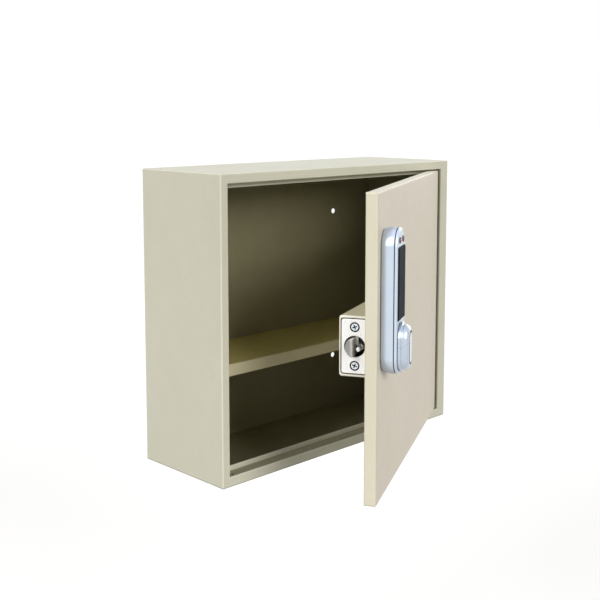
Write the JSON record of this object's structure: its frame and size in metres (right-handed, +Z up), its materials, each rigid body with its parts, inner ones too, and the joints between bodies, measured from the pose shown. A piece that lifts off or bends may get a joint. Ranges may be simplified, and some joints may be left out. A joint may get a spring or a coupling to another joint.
{
  "type": "lockable medicine cabinet",
  "caption": "Wall-hung steel medicine cabinet with a shelf, a hinged pan door and a sprung latch drawn by the knob of an electronic lock; door drawn ajar.",
  "frame": {"origin": "centre of the four wall holes, on the back plane of the cabinet", "axes": "+Y into the wall along the wall screws, so the front faces -Y; +Z up; +X towards the hinged side"},
  "size_m": [0.404, 0.3363, 0.356],
  "materials": {
    "powder_coat": "putty powder coat with a fine orange-peel texture",
    "zinc_plate": "bright zinc-plated steel",
    "spring_steel": "drawn spring wire",
    "cast_zinc": "grey zinc die casting",
    "bolt_nickel": "satin nickel-plated steel",
    "plate_nickel": "bright nickel-plated steel",
    "dark_hinge": "dark bronzed steel",
    "soft_pad": "soft dark rubber",
    "satin_silver": "satin silver-blue lacquer over a zinc casting",
    "bright_badge": "plain bright insert",
    "dark_panel": "fine-grained dark plastic",
    "dark_bezel": "glossy dark plastic",
    "red_lens": "clear red plastic",
    "blue_lens": "clear blue plastic",
    "board_green": "solder-masked circuit board",
    "dark_plastic": "moulded dark plastic",
    "cell_sleeve": "plain blue cell sleeve"
  },
  "bodies": {
    "cabinet": {"body_shell": "powder_coat", "back_panel": "powder_coat", "shelf": "powder_coat", "strike": "zinc_plate", "door_buffers": "soft_pad", "hinge_frame_leaf": "dark_hinge", "hinge_pin": "dark_hinge"},
    "door": {"hinge_door_leaf": "dark_hinge", "door_pan": "powder_coat", "door_liner": "powder_coat", "lock_channel": "zinc_plate", "latch_cover": "powder_coat", "cover_screws": "zinc_plate", "latch_base": "zinc_plate", "latch_case": "cast_zinc", "face_plate": "plate_nickel", "face_plate_screws": "zinc_plate", "bolt_spring": "spring_steel", "plunger_spring": "spring_steel", "lock_gasket": "soft_pad", "lock_back_plate": "zinc_plate", "lock_screws": "zinc_plate", "lock_housing": "satin_silver", "reader_panel": "dark_panel", "lamp_bezels": "dark_bezel", "red_lamp": "red_lens", "blue_lamp": "blue_lens", "circuit_board": "board_green", "battery_tray": "dark_plastic", "batteries": "cell_sleeve", "actuator": "dark_plastic"},
    "knob": {"lock_knob": "satin_silver", "knob_badge": "bright_badge", "spindle": "zinc_plate", "drive_cam": "zinc_plate", "lock_wheel": "zinc_plate"},
    "bolt": {"latch_bolt": "bolt_nickel"},
    "plunger": {"guard_plunger": "bolt_nickel"},
    "block": {"blocking_pin": "zinc_plate"}
  },
  "joints": [
    {"name": "door_hinge", "type": "hinge", "parent": "cabinet", "child": "door", "pos_m": [0.1808, -0.1406, 0], "axis": [0, 0, 1], "range_deg": [-28.5, 81.5]},
    {"name": "knob_turn", "type": "hinge", "parent": "door", "child": "knob", "pos_m": [-0.11694, -0.30499, 0.0014], "axis": [-0.4772, 0.8788, 0], "range_deg": [0, 90]},
    {"name": "bolt_slide", "type": "slide", "parent": "door", "child": "bolt", "axis": [0.8788, 0.4772, 0], "range_m": [0, 0.011], "stiffness_N_per_m": 60, "springref_m": -0.02, "deforming": ["bolt_spring"]},
    {"name": "plunger_slide", "type": "slide", "parent": "door", "child": "plunger", "axis": [0.8788, 0.4772, 0], "range_m": [0, 0.0045], "stiffness_N_per_m": 150, "springref_m": -0.004, "deforming": ["plunger_spring"]},
    {"name": "blocking_pin_slide", "type": "slide", "parent": "door", "child": "block", "axis": [0, 0, -1], "range_m": [0, 0.0035]}
  ],
  "couplings": [
    {"joint": "bolt_slide", "follows": "knob_turn", "m_per_rad": 0.007}
  ]
}
